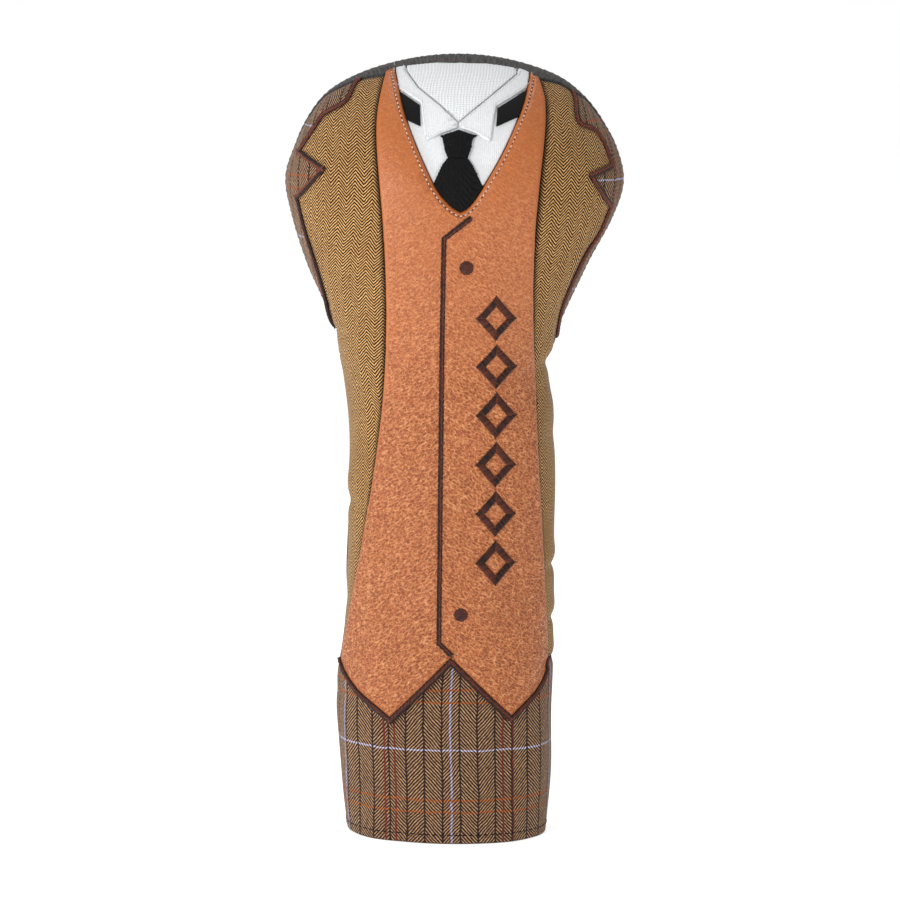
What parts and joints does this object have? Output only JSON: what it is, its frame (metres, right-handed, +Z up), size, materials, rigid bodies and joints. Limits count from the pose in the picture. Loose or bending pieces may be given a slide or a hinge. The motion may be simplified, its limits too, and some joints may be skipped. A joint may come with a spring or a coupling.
{
  "type": "fairway wood headcover",
  "caption": "Padded golf headcover with a wide head pocket and a long elasticated neck, sewn to look like a tweed jacket, leather waistcoat, shirt and tie.",
  "frame": {"origin": "centre of the overall size, on the plane of the mouth's hem", "axes": "+Z up from the hem to the crown, -Y out of the front (waistcoat side), +X to the right of a person who faces the front"},
  "size_m": [0.14, 0.0946, 0.328],
  "materials": {
    "tan_leather": "pebbled tan leather, semi-matt",
    "black_leather": "black grained leather, semi-matt",
    "herringbone": "golden brown herringbone wool cloth",
    "plaid": "dark brown tweed with orange, red and pale lilac overcheck",
    "white_cloth": "smooth white shirt cloth",
    "ribbed_cloth": "off-white ribbed embroidery",
    "black_thread": "black fill-stitch embroidery",
    "brown_thread": "dark brown satin-stitch embroidery with rust highlights",
    "foam": "off-white polyurethane foam wadding",
    "fleece": "charcoal short-pile fleece",
    "elastic": "black woven elastic"
  },
  "bodies": {
    "root": {"waistcoat_panel": "tan_leather", "waistcoat_hem_edging": "brown_thread", "placket_edging": "brown_thread", "button_upper": "brown_thread", "button_lower": "brown_thread", "stitched_diamond_1": "brown_thread", "stitched_diamond_2": "brown_thread", "stitched_diamond_3": "brown_thread", "stitched_diamond_4": "brown_thread", "stitched_diamond_5": "brown_thread", "stitched_diamond_6": "brown_thread", "shirt_front": "white_cloth", "inner_collar": "ribbed_cloth", "collar_flap_left": "white_cloth", "collar_flap_right": "white_cloth", "brace_left": "black_thread", "brace_right": "black_thread", "tie_knot": "black_thread", "tie_blade": "black_thread", "jacket_front_left": "herringbone", "shoulder_left": "plaid", "lapel_edging_left": "brown_thread", "jacket_front_right": "herringbone", "shoulder_right": "plaid", "lapel_edging_right": "brown_thread", "hem_band_front": "plaid", "crown_gusset": "black_leather", "back_head_panel": "plaid", "back_neck_panel": "herringbone", "hem_band_back": "plaid", "head_padding_front": "foam", "head_padding_back": "foam", "neck_padding_front": "foam", "neck_padding_back": "foam", "throat_elastic_upper": "elastic", "throat_elastic_middle": "elastic", "throat_elastic_lower": "elastic", "hem_facing_front": "plaid", "hem_facing_back": "plaid", "lining_front": "fleece", "lining_back": "fleece", "hem_lining": "fleece"}
  },
  "joints": []
}
